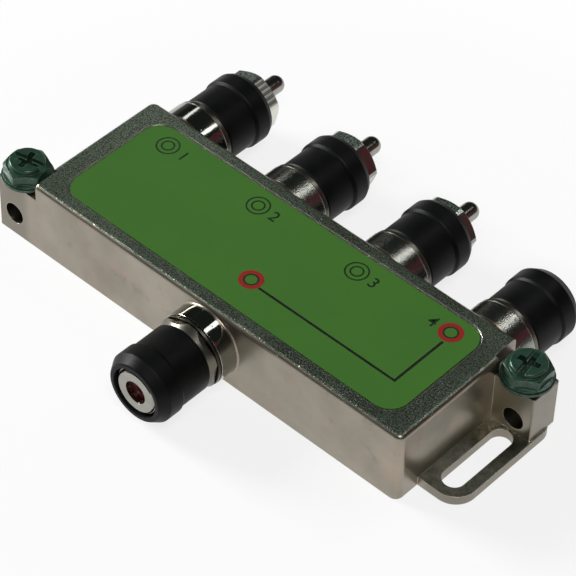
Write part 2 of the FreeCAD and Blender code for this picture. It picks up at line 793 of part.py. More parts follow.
def make_core(number, x, turns_out):
    """The terminator's hollow core: a flange on the port's face and a stub with a round end."""
    body = new_body("terminator_core_%d" % number)
    start = S["port_length"] + S["seat_gap"]
    flange_top = start + S["core_flange_thickness"]
    stub = S["stub_diameter"] / 2
    bore = stub - S["stub_wall"]
    revolve(body, "CoreTurning", [
        (bore, start),
        (S["core_flange"] / 2, start),
        (S["core_flange"] / 2, flange_top),
        (stub, flange_top),
        (stub, STUB_END),
        (0.0, STUB_END),
        (0.0, STUB_END - stub),
        (bore, STUB_END - stub)])
    end = STUB_END.value
    dress(body, "Fillet", "StubEnd", stub * STUB_ROUNDING, lambda edge: is_round_at(edge, stub.value, end))
    place_on_wall(body, x, 1, turns_out=turns_out)
    return body


def make_resistor(number, x, turns_out):
    """The load resistor in the stub, whose lead is the terminator's centre pin."""
    body = new_body("terminator_resistor_%d" % number)
    stub = S["stub_diameter"] / 2
    radius = stub - S["stub_wall"] - S["seat_gap"]
    start = S["port_length"] + S["seat_gap"] * 2
    top = STUB_END - stub - S["seat_gap"]
    lead = S["resistor_lead"] / 2
    revolve(body, "ResistorTurning", [
        (0.0, S["port_length"] - S["lead_reach"]),
        (lead, S["port_length"] - S["lead_reach"]),
        (lead, start),
        (radius, start),
        (radius, top),
        (0.0, top)])
    place_on_wall(body, x, 1, turns_out=turns_out)
    return body


def make_terminators():
    made = []
    for index, (turn, turns_out) in enumerate(zip(NUT_TURNS, TURNS_OUT)):
        x = REAR_PORT_START + S["port_pitch"] * index
        made.append(make_nut(index + 1, x, -turn, turns_out, index == 0))
        made.append(make_core(index + 1, x, turns_out))
        made.append(make_resistor(index + 1, x, turns_out))
    return made


def make_screw(where, side):
    """A ground screw: thread, thin flange, hexagon, round crown, driver slot and cross."""
    body = new_body("ground_screw_" + where)
    thread = S["screw_thread"] / 2
    flange = S["screw_flange"] / 2
    crown = S["screw_crown"] / 2
    flange_top = S["screw_flange_thickness"]
    hex_top = flange_top + S["screw_hex_height"]
    crown_top = hex_top + S["screw_crown_height"]
    revolve(body, "ScrewTurning", [
        (0.0, -S["screw_length"]),
        (thread - S["thread_tip"], -S["screw_length"]),
        (thread, S["thread_tip"] - S["screw_length"]),
        (thread, 0.0),
        (flange, 0.0),
        (flange, flange_top * FLANGE_EDGE),
        (crown, flange_top * FLANGE_ROOT),
        (crown, crown_top),
        (0.0, crown_top)])
    top = crown_top.value
    dress(body, "Fillet", "CrownRound", S["crown_round"], lambda edge: is_round_at(edge, crown.value, top))
    head = new_sketch(body, "HexOutline", offset=flange_top / 2)
    hexagon(head, S["screw_hex"])
    feature(body, "Pad", "HexHead", head, Length=hex_top - flange_top / 2)
    chamfer_hex(body, "HexChamfer", S["screw_hex"], hex_top)
    cut_driver_recess(body, crown_top, math.radians(SLOT_TURNS[where]))
    seat = S["block_height"] + S["screw_gap"] + S["washer_thickness"] + S["seat_gap"]
    place(body, SCREW_X * side, SCREW_Y * side, seat, turn=SCREW_TURNS[where])
    return body


def make_washer(where, side):
    """The flat washer held captive on a ground screw."""
    body = new_body("screw_washer_" + where)
    ring = new_sketch(body, "WasherOutline")
    circle(ring, 0.0, 0.0, S["washer_diameter"])
    circle(ring, 0.0, 0.0, S["screw_thread"] + S["turning_clearance"] * 2)
    feature(body, "Pad", "WasherRing", ring, Length=S["washer_thickness"])
    place(body, SCREW_X * side, SCREW_Y * side, S["block_height"] + S["screw_gap"])
    return body


def cut_driver_recess(body, top, angle):
    """A straight slot across the crown, with a deeper cross in its middle."""
    slot = new_sketch(body, "SlotOutline", offset=top)
    reach = S["screw_crown"] / 2 + OVERLAP
    half = S["slot_cut"] / 2
    polygon(slot, [turned(point, angle) for point in
                   ((-reach, -half), (reach, -half), (reach, half), (-reach, half))])
    feature(body, "Pocket", "DriverSlot", slot, Length=S["slot_cut_depth"])
    cross = new_sketch(body, "CrossOutline", offset=top)
    half, span = S["cross_width"] / 2, S["cross_span"] / 2
    arms = ((span, -half), (span, half), (half, half), (half, span), (-half, span), (-half, half),
            (-span, half), (-span, -half), (-half, -half), (-half, -span), (half, -span), (half, -half))
    polygon(cross, [turned(point, angle) for point in arms])
    feature(body, "Pocket", "DriverCross", cross, Length=S["cross_depth"])


def make_screws():
    made = []
    for where, side in (("right", 1), ("left", -1)):
        made.append(make_screw(where, side))
        made.append(make_washer(where, side))
    return made


def primitive(kind, name, **sizes):
    """Add a plain solid whose sizes are bound to the sheet."""
    made = DOC.addObject("Part::" + kind, name)
    for prop, size in sizes.items():
        bind(made, prop, size)
    return made


def make_transformer(number, x, y):
    """A two-hole ferrite core that lies on the board."""
    name = "transformer_%d" % number
    block = primitive("Box", name + "_block", Length=S["core_length"], Width=S["core_width"],
                      Height=S["core_height"])
    place(block, S["core_length"] / -2, S["core_width"] / -2)
    holes = []
    for side in (-1, 1):
        hole = primitive("Cylinder", "%s_hole_%d" % (name, side + 2), Radius=S["core_hole"] / 2,
                         Height=S["core_length"] + OVERLAP * 2)
        place(hole, -(S["core_length"] / 2 + OVERLAP), S["core_width"] * side / 4, S["core_height"] / 2,
              (0, 1, 0), 90)
        holes.append(hole)
    pair = DOC.addObject("Part::MultiFuse", name + "_holes")
    pair.Shapes = holes
    core = DOC.addObject("Part::Cut", name)
    core.Base = block
    core.Tool = pair
    core.Label = name
    place(core, x, y, BOARD_TOP)
    return core


def make_board_parts():
    """Two-way splitting stages, the power choke and the blocking capacitors."""
    pitch, width = S["port_pitch"], S["case_width"]
    made = [make_transformer(k + 1, pitch * x, width * y) for k, (x, y) in enumerate(TRANSFORMER_SPOTS)]
    choke = primitive("Cylinder", "power_choke", Radius=S["choke_diameter"] / 2, Height=S["choke_length"])
    place(choke, pitch * CHOKE_SPOT[0], width * CHOKE_SPOT[1],
          BOARD_TOP + S["choke_diameter"] / 2 + S["seat_gap"], (0, 1, 0), 90)
    made.append(choke)
    for index in range(OUTPUT_COUNT - 1):
        name = "capacitor_%d" % (index + 1)
        disc = primitive("Cylinder", name, Radius=S["capacitor_diameter"] / 2,
                         Height=S["capacitor_thickness"])
        x = REAR_PORT_START + pitch * index
        place(disc, x - S["capacitor_thickness"] / 2, width * CAPACITOR_ROW,
              BOARD_TOP + S["capacitor_diameter"] / 2 + S["seat_gap"], (0, 1, 0), 90)
        made.append(disc)
    return made


def check(parts):
    """Stop if any object failed or any sub-part has no valid solid."""
    for thing in DOC.Objects:
        if "Invalid" in thing.State or "Error" in thing.State:
            raise RuntimeError("%s failed: %s" % (thing.Label, thing.State))
    for part in parts:
        shape = part.Shape
        if shape.isNull() or not shape.isValid() or not shape.Solids:
            raise RuntimeError("%s has no valid solid" % part.Label)


def main():
    parts = make_housing() + make_flat_plates() + make_ports() + make_terminators()
    parts += make_screws() + make_board_parts()
    DOC.recompute()
    check(parts)
    os.makedirs("parts", exist_ok=True)
    for part in parts:
        part.Shape.exportStep("parts/%s.step" % part.Label)
        print("%-28s solids %d volume %9.2f" % (part.Label, len(part.Shape.Solids), part.Shape.Volume))


main()
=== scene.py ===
"""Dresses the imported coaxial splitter: finishes with relief, label print, boss roots and the studio."""

import json
import logging
import math
from dataclasses import dataclass
from enum import Enum

import bmesh
import bpy
from mathutils import Matrix, Vector


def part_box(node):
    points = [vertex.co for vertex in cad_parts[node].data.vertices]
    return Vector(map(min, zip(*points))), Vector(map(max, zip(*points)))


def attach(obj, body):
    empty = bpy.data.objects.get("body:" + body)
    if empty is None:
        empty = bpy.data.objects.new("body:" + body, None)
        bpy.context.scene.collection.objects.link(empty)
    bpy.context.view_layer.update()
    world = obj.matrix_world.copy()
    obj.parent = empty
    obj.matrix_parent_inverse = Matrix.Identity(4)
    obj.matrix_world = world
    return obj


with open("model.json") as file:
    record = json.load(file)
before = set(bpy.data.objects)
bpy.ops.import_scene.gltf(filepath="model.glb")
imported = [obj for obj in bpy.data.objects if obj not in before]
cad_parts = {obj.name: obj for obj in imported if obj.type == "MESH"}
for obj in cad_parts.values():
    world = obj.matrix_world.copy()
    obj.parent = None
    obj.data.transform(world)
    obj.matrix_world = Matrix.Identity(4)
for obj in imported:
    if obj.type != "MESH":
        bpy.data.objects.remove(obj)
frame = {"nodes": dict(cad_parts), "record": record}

LOG = logging.getLogger("coaxial_splitter")
MM = 0.001
FULL_TURN = 2 * math.pi
THREAD_PITCH = 0.794 * MM
PORT_PITCH = 25 * MM
PORT_HEIGHT = 8 * MM
OUTPUT_COUNT = 4

Socket = bpy.types.NodeSocket
Colour = tuple[float, float, float]
Tint = Colour | Socket
Factor = float | Socket


def linear(red: int, green: int, blue: int) -> Colour:
    """Turn an 8-bit display colour into the linear values that shaders take.

    Args:
        red: Red from 0 to 255.
        green: Green from 0 to 255.
        blue: Blue from 0 to 255.

    Returns:
        The three linear values from 0 to 1.
    """
    def one(value: int) -> float:
        share = value / 255
        return share / 12.92 if share <= 0.04045 else ((share + 0.055) / 1.055) ** 2.4
    return (one(red), one(green), one(blue))


def add_object(name: str, data: bpy.types.ID) -> bpy.types.Object:
    """Put new data into the scene as an object.

    Args:
        name: The object's name.
        data: Its mesh, curve, camera or light.

    Returns:
        The new object.
    """
    made = bpy.data.objects.new(name, data)
    bpy.context.scene.collection.objects.link(made)
    return made


def mesh_data(name: str, mesh: bmesh.types.BMesh) -> bpy.types.Mesh:
    """Turn a bmesh into mesh data and free it.

    Args:
        name: The data's name.
        mesh: The shape.

    Returns:
        The mesh data.
    """
    data = bpy.data.meshes.new(name)
    mesh.to_mesh(data)
    mesh.free()
    return data


@dataclass(frozen=True)
class Pattern:
    """A noise with blobs of one size, and the noise values that give 0 and 1."""

    size: float
    low: float = 0.3
    high: float = 0.7
    detail: float = 2.0
    roughness: float = 0.5


class Wiring:
    """One material's node tree, with short ways to add nodes and join them."""

    mask_samples: int = 6
    round_samples: int = 4
    edge_limits: tuple[float, float] = (0.995, 0.93)
    crease_limits: tuple[float, float] = (0.88, 0.55)

    def __init__(self, name: str) -> None:
        """Make a material with a bare Principled shader.

        Args:
            name: The material's name.
        """
        self.material = bpy.data.materials.new(name)
        self.material.use_nodes = True
        self.tree = self.material.node_tree
        self.shader = self.tree.nodes["Principled BSDF"]
        coordinates = self.tree.nodes.new("ShaderNodeTexCoord")
        self.place = coordinates.outputs["Object"]

    def add(self, kind: str, inputs: dict | None = None, **settings: object) -> bpy.types.Node:
        """Add a node, set its options and fill or join its inputs.

        Args:
            kind: The node's type name.
            inputs: Values or sockets by input name or number.
            **settings: Options set on the node itself.

        Returns:
            The new node.
        """
        node = self.tree.nodes.new(kind)
        for key, value in settings.items():
            setattr(node, key, value)
        for key, value in (inputs or {}).items():
            if isinstance(value, Socket):
                self.tree.links.new(value, node.inputs[key])
            else:
                node.inputs[key].default_value = value
        return node

    def join(self, output: Socket, socket: str) -> None:
        """Join an output to one of the shader's own sockets."""
        self.tree.links.new(output, self.shader.inputs[socket])

    def noise(self, size: float, detail: float = 2.0, roughness: float = 0.5) -> Socket:
        """Add a noise whose blobs are about one size across.

        Args:
            size: Size of the blobs in metres.
            detail: Number of finer layers.
            roughness: Strength of the finer layers.

        Returns:
            The noise's value, from 0 to 1.
        """
        node = self.add("ShaderNodeTexNoise", {"Vector": self.place, "Scale": 1 / size, "Detail": detail,
                                               "Roughness": roughness})
        return node.outputs["Fac"]

    def span(self, value: Socket, low: float, high: float, start: float = 0.0, end: float = 1.0,
             smooth: bool = False) -> Socket:
        """Map a value from one range to another.

        Args:
            value: The socket to map.
            low: Input value that gives start.
            high: Input value that gives end.
            start: First output value.
            end: Last output value.
            smooth: Whether the step between them is smooth.

        Returns:
            The mapped value.
        """
        kind = "SMOOTHSTEP" if smooth else "LINEAR"
        node = self.add("ShaderNodeMapRange", {"Value": value, "From Min": low, "From Max": high,
                                               "To Min": start, "To Max": end}, interpolation_type=kind)
        return node.outputs["Result"]

    def step(self, value: Socket, start: float, fade: float) -> Socket:
        """Return 0 before a start and 1 beyond it.

        Args:
            value: The socket to test.
            start: The value at which the mask begins to rise.
            fade: How far it takes to reach 1, negative for a mask that lies below the start.

        Returns:
            The mask.
        """
        return self.span(value, start, start + fade)

    def pattern(self, pattern: Pattern) -> Socket:
        """Return a noise pattern as a mask."""
        value = self.noise(pattern.size, pattern.detail, pattern.roughness)
        return self.span(value, pattern.low, pattern.high)

    def blend(self, share: Socket, first: Tint, second: Tint) -> Socket:
        """Mix two colours by a share.

        Args:
            share: 0 gives the first colour and 1 the second.
            first: A linear colour or a colour socket.
            second: A linear colour or a colour socket.

        Returns:
            The mixed colour.
        """
        fixed = {6: first, 7: second}
        inputs = {key: value if isinstance(value, Socket) else (*value, 1) for key, value in fixed.items()}
        return self.add("ShaderNodeMix", {0: share, **inputs}, data_type="RGBA").outputs[2]

    def layers(self, base: Socket, *coats: tuple[Socket, Tint]) -> Socket:
        """Lay colours over a base, one after the other.

        Args:
            base: The colour below.
            *coats: Each coat's mask and colour.

        Returns:
            The colour on top.
        """
        for share, colour in coats:
            base = self.blend(share, base, colour)
        return base

    def math(self, operation: str, first: Factor, second: Factor = 0.0) -> Socket:
        """Add a maths node on sockets or numbers.

        Args:
            operation: The node's operation.
            first: First operand.
            second: Second operand.

        Returns:
            The result.
        """
        return self.add("ShaderNodeMath", {0: first, 1: second}, operation=operation).outputs[0]

    def product(self, *factors: Factor) -> Socket:
        """Multiply sockets and numbers.

        Args:
            *factors: Two or more sockets or numbers.

        Returns:
            Their product.
        """
        result = factors[0]
        for factor in factors[1:]:
            result = self.math("MULTIPLY", result, factor)
        return result

    def distance(self, first: Socket, second: Socket) -> Socket:
        """Return the distance that two offsets at right angles give."""
        squares = self.math("ADD", self.product(first, first), self.product(second, second))
        return self.math("SQRT", squares)

    def facing(self) -> Socket:
        """Return how far the true surface faces straight up, from -1 to 1."""
        geometry = self.add("ShaderNodeNewGeometry")
        return self.add("ShaderNodeSeparateXYZ", {"Vector": geometry.outputs["True Normal"]}).outputs[2]

    def edges(self, radius: float) -> Socket:
        """Return 1 near sharp edges and 0 elsewhere.

        Args:
            radius: How far from an edge the mask reaches, in metres.

        Returns:
            The mask.
        """
        rounded = self.add("ShaderNodeBevel", {"Radius": radius}, samples=self.mask_samples)
        flat = self.add("ShaderNodeNewGeometry")
        kept = self.add("ShaderNodeVectorMath", {0: rounded.outputs["Normal"], 1: flat.outputs["Normal"]},
                        operation="DOT_PRODUCT")
        return self.span(kept.outputs["Value"], *self.edge_limits)

    def creases(self, reach: float) -> Socket:
        """Return 1 deep in narrow grooves and 0 in the open.

        Args:
            reach: How far the walls of a groove are looked for, in metres.

        Returns:
            The mask.
        """
        open_share = self.add("ShaderNodeAmbientOcclusion", {"Distance": reach}, samples=self.mask_samples,
                              only_local=True).outputs["AO"]
        return self.span(open_share, *self.crease_limits)

    def split(self) -> list[Socket]:
        """Return the X, Y and Z of the object coordinates."""
        node = self.add("ShaderNodeSeparateXYZ", {"Vector": self.place})
        return [node.outputs[k] for k in range(3)]

    def relief(self, heights: list[tuple[Socket, float]], edge: float = 0.0) -> None:
        """Join a chain of bumps to the shader, over edges that look rounded.

        Args:
            heights: Height sockets, each with its depth in metres.
            edge: Radius of the rounded edges, or 0 for none.
        """
        normal = None
        if edge:
            rounded = self.add("ShaderNodeBevel", {"Radius": edge}, samples=self.round_samples)
            normal = rounded.outputs["Normal"]
        for height, depth in heights:
            inputs = {"Height": height, "Distance": depth, "Strength": 1.0}
            if normal is not None:
                inputs["Normal"] = normal
            normal = self.add("ShaderNodeBump", inputs).outputs["Normal"]
        if normal is not None:
            self.join(normal, "Normal")


@dataclass(frozen=True)
class CastNickel:
    """Nickel plating over a zinc casting: satin walls, hammered roof, crinkled rear bosses."""

    name: str = "nickel_casting"
    bright: Colour = (0.350, 0.318, 0.262)
    dull: Colour = (0.270, 0.243, 0.195)
    warm: Colour = (0.385, 0.300, 0.235)
    # Painted shade: everything beyond the ends of the case, ground blocks and ears, is coloured darker than
    # the walls.
    block: Colour = (0.225, 0.203, 0.165)
    boss: Colour = (0.300, 0.300, 0.272)
    # Painted highlight: a light colour laid along the casting's edges, for the lamps' reflection in the
    # rounded edges.
    edge: Colour = (0.66, 0.64, 0.57)
    # Painted shade: the walls inside the two wire bores are coloured dark.
    bore: Colour = (0.10, 0.10, 0.075)
    # Painted glints and dark reflections: light and dark specks on the hammered roof.
    roof_dark: Colour = (0.10, 0.13, 0.095)
    roof_light: Colour = (0.60, 0.70, 0.55)
    roof_shade: Colour = (0.045, 0.055, 0.043)
    # Painted reflection: the ear tops get light, mottled colours that stand in for the surroundings they
    # mirror.
    ear_dark: Colour = (0.56, 0.58, 0.44)
    ear_light: Colour = (0.97, 0.98, 0.80)
    stain: Colour = (0.20, 0.18, 0.13)
    warm_share: float = 0.6
    block_share: float = 0.8
    stain_share: float = 0.5
    edge_share: float = 0.8
    bore_share: float = 0.85
    shade_share: float = 0.38
    upward: tuple[float, float] = (0.80, 0.95)
    roof_height: float = 15.6 * MM
    ear_height: float = 2.1 * MM
    height_fade: float = 0.2 * MM
    wall_y: float = 16.4 * MM
    wall_fade: float = 0.4 * MM
    first_boss_end: float = -28 * MM
    first_boss_fade: float = 4 * MM
    case_end: float = 45.4 * MM
    block_start: float = 45.6 * MM
    block_fade: float = 1.8 * MM
    shade_reach: float = 45 * MM
    wire_bore: tuple[float, float] = (49.8 * MM, 5.15 * MM)
    wire_bore_radius: float = 2.25 * MM
    wire_bore_fade: float = 0.03 * MM
    clouds: Pattern = Pattern(9 * MM, detail=3.0)
    stains: Pattern = Pattern(5 * MM, 0.60, 0.74, 4.0, 0.65)
    blush: Pattern = Pattern(7 * MM, 0.52, 0.72)
    speckle: Pattern = Pattern(0.28 * MM, 0.39, 0.67, roughness=0.6)
    flow: Pattern = Pattern(1.8 * MM, 0.38, 0.62, 3.0, 0.6)
    pits: Pattern = Pattern(0.9 * MM, 0.30, 0.24)
    pit_depth: float = 0.03 * MM
    wave_size: float = 2.5 * MM
    wave_depth: float = 0.02 * MM
    skin_size: float = 0.32 * MM
    skin_roughness: float = 0.6
    hammer_depth: float = 0.10 * MM
    crinkle_depth: float = 0.04 * MM
    edge_reach: float = 0.20 * MM
    edge_radius: float = 0.18 * MM
    satin: tuple[float, float] = (0.36, 0.29)
    polish: tuple[tuple[str, float], ...] = (("polished", 0.24), ("ear", 0.10), ("crinkled", 0.12))
    stain_roughness: float = 0.12

    def make(self) -> bpy.types.Material:
        """Build the material."""
        nodes = Wiring(self.name)
        areas = self.areas(nodes)
        clouds = nodes.pattern(self.clouds)
        stains = nodes.product(nodes.pattern(self.stains), self.stain_share)
        nodes.join(self.tint(nodes, areas, clouds, stains), "Base Color")
        nodes.shader.inputs["Metallic"].default_value = 1.0
        rough = nodes.span(clouds, 0, 1, *self.satin)
        for area, drop in self.polish:
            rough = nodes.math("SUBTRACT", rough, nodes.product(areas[area], drop))
        nodes.join(nodes.math("ADD", rough, nodes.product(stains, self.stain_roughness)), "Roughness")
        skin = nodes.noise(self.skin_size, roughness=self.skin_roughness)
        nodes.relief([(nodes.noise(self.wave_size), self.wave_depth),
                      (nodes.product(nodes.pattern(self.pits), -1.0), self.pit_depth),
                      (nodes.product(areas["roof"], skin), self.hammer_depth),
                      (nodes.product(areas["crinkled"], skin), self.crinkle_depth)], self.edge_radius)
        return nodes.material

    def areas(self, nodes: Wiring) -> dict[str, Socket]:
        """Mask the parts of the casting that have a finish of their own, and the parts where shade and
        reflections are painted.

        Args:
            nodes: The material being wired.

        Returns:
            The masks by name.
        """
        x, y, z = nodes.split()
        from_middle = nodes.math("ABSOLUTE", x)
        upward = nodes.span(nodes.facing(), *self.upward)
        in_front = nodes.step(y, -self.wall_y, -self.wall_fade)
        behind = nodes.step(y, self.wall_y, self.wall_fade)
        beyond_first = nodes.step(x, self.first_boss_end, self.first_boss_fade)
        first_boss = nodes.product(behind, nodes.math("SUBTRACT", 1.0, beyond_first))
        return {
            "roof": nodes.product(nodes.step(z, self.roof_height, self.height_fade), upward),
            "ear": nodes.product(nodes.step(z, self.ear_height, -self.height_fade), upward,
                                 nodes.step(from_middle, self.case_end - self.wall_fade, self.wall_fade)),
            "block": nodes.step(from_middle, self.block_start, self.block_fade),
            "boss": nodes.math("MAXIMUM", in_front, behind),
            "polished": nodes.math("MAXIMUM", in_front, first_boss),
            "crinkled": nodes.product(behind, beyond_first),
            "shade": nodes.span(x, -self.shade_reach, self.shade_reach, 0.0, self.shade_share),
            "bore": self.bores(nodes, from_middle, z),
        }

    def bores(self, nodes: Wiring, from_middle: Socket, z: Socket) -> Socket:
        """Mask the walls of the two wire bores, where shade is painted.

        Args:
            nodes: The material being wired.
            from_middle: The distance from the middle of the case along it.
            z: The height.

        Returns:
            The mask.
        """
        across = nodes.math("SUBTRACT", from_middle, self.wire_bore[0])
        up = nodes.math("SUBTRACT", z, self.wire_bore[1])
        inside = nodes.step(nodes.distance(across, up), self.wire_bore_radius + self.wire_bore_fade,
                            -2 * self.wire_bore_fade)
        return nodes.product(inside, self.bore_share)

    def tint(self, nodes: Wiring, areas: dict[str, Socket], clouds: Socket, stains: Socket) -> Socket:
        """Mix the colour of the whole casting, with the painted highlights, reflections and shade laid in.

        Args:
            nodes: The material being wired.
            areas: The masks by name.
            clouds: The soft pattern of the walls.
            stains: The mask of the stains.

        Returns:
            The colour.
        """
        # Painted glints and dark reflections as specks on the roof.
        roof = nodes.blend(nodes.pattern(self.speckle), self.roof_dark, self.roof_light)
        return nodes.layers(
            nodes.blend(clouds, self.dull, self.bright),
            (nodes.product(nodes.pattern(self.blush), self.warm_share), self.warm),
            # Painted shade on the ground blocks.
            (nodes.product(areas["block"], self.block_share), self.block),
            (areas["boss"], self.boss),
            (areas["roof"], nodes.blend(areas["shade"], roof, self.roof_shade)),
            # Painted reflection on the ear tops.
            (areas["ear"], nodes.blend(nodes.pattern(self.flow), self.ear_dark, self.ear_light)),
            (stains, self.stain),
            # Painted highlight along the edges.
            (nodes.product(nodes.edges(self.edge_reach), self.edge_share), self.edge),
            # Painted shade inside the wire bores.
            (areas["bore"], self.bore),
        )


@dataclass(frozen=True)
class TurnedNickel:
    """Bright nickel on turned brass, with the port's 32-per-inch thread as relief."""

    name: str = "nickel_turning"
    bright: Colour = (0.345, 0.340, 0.305)
    dull: Colour = (0.275, 0.275, 0.245)
    # Painted shade: a dark colour deep in the thread grooves and nut ribs, from an occlusion mask.
    grime: Colour = (0.05, 0.045, 0.03)
    # Painted dark reflection: the port flanges are coloured much darker than the rest of the nickel.
    flange: Colour = (0.15, 0.14, 0.115)
    scuffed: Colour = (0.70, 0.70, 0.64)
    # Painted glints: light and dark greenish specks on the nut faces that face up, lighter on the whole
    # than the bare nickel.
    speck_dark: Colour = (0.14, 0.19, 0.155)
    speck_light: Colour = (0.82, 0.92, 0.84)
    upward: tuple[float, float] = (0.75, 0.90)
    thread_start: float = 22.4 * MM
    thread_end: float = 34.0 * MM
    thread_fade: float = 0.3 * MM
    thread_depth: float = 0.2 * MM
    root_radius: float = 4.5 * MM
    crest_radius: float = 4.95 * MM
    shank_radius: float = 5.0 * MM
    fade: float = 0.1 * MM
    nut_gap: float = 2 * MM
    nut_fade: float = 0.5 * MM
    first_nut_side: float = -28 * MM
    first_nut_fade: float = 1 * MM
    clouds: Pattern = Pattern(3 * MM, detail=3.0)
    specks: Pattern = Pattern(0.28 * MM, 0.42, 0.60)
    groove_reach: float = 0.7 * MM
    skin_size: float = 0.5 * MM
    skin_depth: float = 0.003 * MM
    edge_radius: float = 0.10 * MM
    roughness: float = 0.13
    spread: float = 0.08
    worn_roughness: float = 0.14

    def make(self) -> bpy.types.Material:
        """Build the material."""
        nodes = Wiring(self.name)
        x, y, z = nodes.split()
        from_middle = nodes.math("ABSOLUTE", y)
        across = self.across(nodes, x, y)
        up = nodes.math("SUBTRACT", z, PORT_HEIGHT)
        radius = nodes.distance(across, up)
        outside = nodes.step(radius, self.shank_radius, self.fade)
        flange = nodes.product(nodes.step(from_middle, self.thread_start + self.fade, -self.fade), outside)
        nut = nodes.product(nodes.step(y, self.thread_start + self.nut_gap, self.nut_fade), outside)
        first_nut = nodes.product(nodes.step(x, self.first_nut_side, -self.first_nut_fade), nut)
        nut_top = nodes.product(nodes.span(nodes.facing(), *self.upward), nut)
        clouds = nodes.pattern(self.clouds)
        specks = nodes.blend(nodes.pattern(self.specks), self.speck_dark, self.speck_light)
        # Painted dark reflection on the flanges, painted glints on the nut tops and painted shade in the
        # grooves.
        tinted = nodes.layers(nodes.blend(clouds, self.dull, self.bright), (flange, self.flange),
                              # painted glints on the faces that face up
                              (first_nut, self.scuffed), (nut_top, specks),
                              # painted shade in the grooves
                              (nodes.creases(self.groove_reach), self.grime))
        nodes.join(tinted, "Base Color")
        nodes.shader.inputs["Metallic"].default_value = 1.0
        rough = nodes.span(clouds, 0, 1, self.roughness + self.spread, self.roughness)
        worn = nodes.math("MAXIMUM", nodes.math("MAXIMUM", flange, nut_top), first_nut)
        nodes.join(nodes.math("ADD", rough, nodes.product(worn, self.worn_roughness)), "Roughness")
        turn = nodes.math("ARCTAN2", up, across)
        phase = nodes.math("ADD", nodes.product(y, FULL_TURN / THREAD_PITCH), turn)
        threaded = nodes.product(nodes.step(from_middle, self.thread_start, self.thread_fade),
                                 nodes.step(from_middle, self.thread_end, -self.thread_fade),
                                 nodes.step(radius, self.root_radius, self.fade),
                                 nodes.step(radius, self.crest_radius, -self.fade / 2))
        nodes.relief([(nodes.noise(self.skin_size), self.skin_depth),
                      (nodes.product(threaded, nodes.math("SINE", phase)), self.thread_depth)],
                     self.edge_radius)
        return nodes.material

    def across(self, nodes: Wiring, x: Socket, y: Socket) -> Socket:
        """Return the sideways distance from the axis of the nearest port.

        Args:
            nodes: The material being wired.
            x: The place along the case.
            y: The place across it, above 0 for the row of outputs and below 0 for the input.

        Returns:
            The distance.
        """
        shifted = nodes.math("ADD", x, PORT_PITCH * OUTPUT_COUNT)
        in_row = nodes.math("SUBTRACT", nodes.math("MODULO", shifted, PORT_PITCH), PORT_PITCH / 2)
        rear = nodes.math("GREATER_THAN", y, 0.0)
        front = nodes.math("SUBTRACT", 1.0, rear)
        return nodes.math("ADD", nodes.product(rear, in_row), nodes.product(front, x))


@dataclass(frozen=True)
class ScrewGreen:
    """Dark green passivated steel, with the thread below the head as relief."""

    name: str = "green_steel"
    colour: Colour = linear(50, 84, 66)
    mottle: Colour = linear(36, 60, 48)
    # Worn paint and painted highlight: a light colour laid in patches along the screws' edges.
    worn: Colour = linear(150, 172, 156)
    worn_share: float = 0.55
    screw: tuple[float, float] = (49.4 * MM, 12.55 * MM)
    head_height: float = 12.8 * MM
    head_fade: float = 0.1 * MM
    thread_depth: float = 0.2 * MM
    clouds: Pattern = Pattern(1.4 * MM, detail=3.0)
    wear: Pattern = Pattern(0.8 * MM, 0.35, 0.60)
    wear_reach: float = 0.16 * MM
    skin_size: float = 0.5 * MM
    skin_depth: float = 0.03 * MM
    edge_radius: float = 0.2 * MM
    roughness: tuple[float, float] = (0.26, 0.38)

    def make(self) -> bpy.types.Material:
        """Build the material."""
        nodes = Wiring(self.name)
        x, y, z = nodes.split()
        side = nodes.math("SIGN", x)
        turn = nodes.math("ARCTAN2", nodes.math("SUBTRACT", y, nodes.product(side, self.screw[1])),
                          nodes.math("SUBTRACT", x, nodes.product(side, self.screw[0])))
        phase = nodes.math("SUBTRACT", nodes.product(z, FULL_TURN / THREAD_PITCH), turn)
        threaded = nodes.step(z, self.head_height, -self.head_fade)
        clouds = nodes.pattern(self.clouds)
        # Worn paint and painted highlight along the edges.
        wear = nodes.product(nodes.edges(self.wear_reach), nodes.pattern(self.wear), self.worn_share)
        painted = nodes.blend(clouds, self.colour, self.mottle)
        nodes.join(nodes.blend(wear, painted, self.worn), "Base Color")
        nodes.join(nodes.span(clouds, 0, 1, *self.roughness), "Roughness")
        nodes.shader.inputs["Metallic"].default_value = 0.35
        nodes.shader.inputs["Specular IOR Level"].default_value = 0.35
        nodes.shader.inputs["Coat Weight"].default_value = 0.25
        nodes.shader.inputs["Coat Roughness"].default_value = 0.15
        nodes.relief([(nodes.noise(self.skin_size), self.skin_depth),
                      (nodes.product(threaded, nodes.math("SINE", phase)), self.thread_depth)],
                     self.edge_radius)
        return nodes.material


@dataclass(frozen=True)
class PlainFinish:
    """A finish of one colour with a mottled second colour and a fine skin."""

    name: str
    colour: Colour
    mottle: Colour
    roughness: float
    spread: float = 0.08
    metallic: float = 0.0
    specular: float = 0.5
    grain: float = 0.35 * MM
    depth: float = 0.01 * MM
    cloud: float = 4 * MM
    edge: float = 0.0

    def make(self) -> bpy.types.Material:
        """Build the material."""
        nodes = Wiring(self.name)
        clouds = nodes.pattern(Pattern(self.cloud, detail=3.0))
        nodes.join(nodes.blend(clouds, self.colour, self.mottle), "Base Color")
        nodes.join(nodes.span(clouds, 0, 1, self.roughness, self.roughness + self.spread), "Roughness")
        nodes.shader.inputs["Metallic"].default_value = self.metallic
        nodes.shader.inputs["Specular IOR Level"].default_value = self.specular
        nodes.relief([(nodes.noise(self.grain), self.depth)], self.edge)
        return nodes.material


